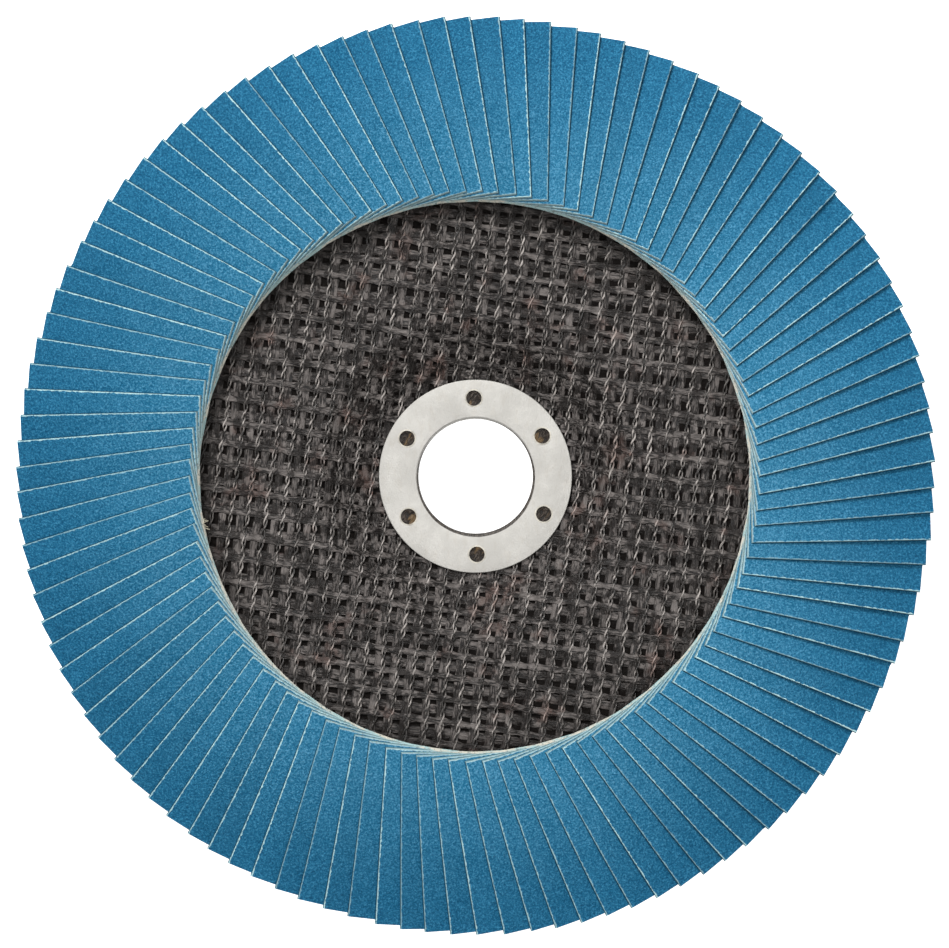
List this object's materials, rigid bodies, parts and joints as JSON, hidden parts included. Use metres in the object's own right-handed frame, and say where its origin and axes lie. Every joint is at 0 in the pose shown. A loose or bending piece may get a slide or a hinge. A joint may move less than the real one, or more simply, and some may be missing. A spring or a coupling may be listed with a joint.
{
  "type": "flap disc",
  "caption": "Conical flap disc: overlapping blue abrasive cloth flaps bonded to a dished black glass-fibre backing plate with a pressed steel arbor ring.",
  "frame": {"origin": "on the bore axis, in the plane of the hub's rear face, which rests on the spindle flange", "axes": "+Z along the bore axis towards the abrasive side; +X and +Y lie in the plane of the rear face, as seen from the abrasive side with +X to the right and +Y up"},
  "size_m": [0.1776, 0.1776, 0.0159],
  "materials": {
    "abrasive_cloth": "matte grit",
    "resin_laminate": "satin",
    "glass_scrim": "satin",
    "tinned_steel": "satin",
    "adhesive_resin": "satin"
  },
  "bodies": {
    "root": {"backing_plate": "resin_laminate", "weft_yarns": "glass_scrim", "warp_yarns": "glass_scrim", "hub_ring": "tinned_steel", "adhesive_bed": "adhesive_resin", "flap_pair_01": "abrasive_cloth", "flap_pair_02": "abrasive_cloth", "flap_pair_03": "abrasive_cloth", "flap_pair_04": "abrasive_cloth", "flap_pair_05": "abrasive_cloth", "flap_pair_06": "abrasive_cloth", "flap_pair_07": "abrasive_cloth", "flap_pair_08": "abrasive_cloth", "flap_pair_09": "abrasive_cloth", "flap_pair_10": "abrasive_cloth", "flap_pair_11": "abrasive_cloth", "flap_pair_12": "abrasive_cloth", "flap_pair_13": "abrasive_cloth", "flap_pair_14": "abrasive_cloth", "flap_pair_15": "abrasive_cloth", "flap_pair_16": "abrasive_cloth", "flap_pair_17": "abrasive_cloth", "flap_pair_18": "abrasive_cloth", "flap_pair_19": "abrasive_cloth", "flap_pair_20": "abrasive_cloth", "flap_pair_21": "abrasive_cloth", "flap_pair_22": "abrasive_cloth", "flap_pair_23": "abrasive_cloth", "flap_pair_24": "abrasive_cloth", "flap_pair_25": "abrasive_cloth", "flap_pair_26": "abrasive_cloth", "flap_pair_27": "abrasive_cloth", "flap_pair_28": "abrasive_cloth", "flap_pair_29": "abrasive_cloth", "flap_pair_30": "abrasive_cloth", "flap_pair_31": "abrasive_cloth", "flap_pair_32": "abrasive_cloth", "flap_pair_33": "abrasive_cloth", "flap_pair_34": "abrasive_cloth", "flap_pair_35": "abrasive_cloth", "flap_pair_36": "abrasive_cloth", "flap_pair_37": "abrasive_cloth", "flap_pair_38": "abrasive_cloth", "flap_pair_39": "abrasive_cloth", "flap_pair_40": "abrasive_cloth", "flap_pair_41": "abrasive_cloth", "flap_pair_42": "abrasive_cloth", "flap_pair_43": "abrasive_cloth", "flap_pair_44": "abrasive_cloth", "flap_pair_45": "abrasive_cloth", "flap_pair_46": "abrasive_cloth", "flap_pair_47": "abrasive_cloth", "flap_pair_48": "abrasive_cloth", "flap_pair_49": "abrasive_cloth", "flap_pair_50": "abrasive_cloth", "flap_pair_51": "abrasive_cloth", "flap_pair_52": "abrasive_cloth", "flap_pair_53": "abrasive_cloth", "flap_pair_54": "abrasive_cloth", "flap_pair_55": "abrasive_cloth"}
  },
  "joints": []
}
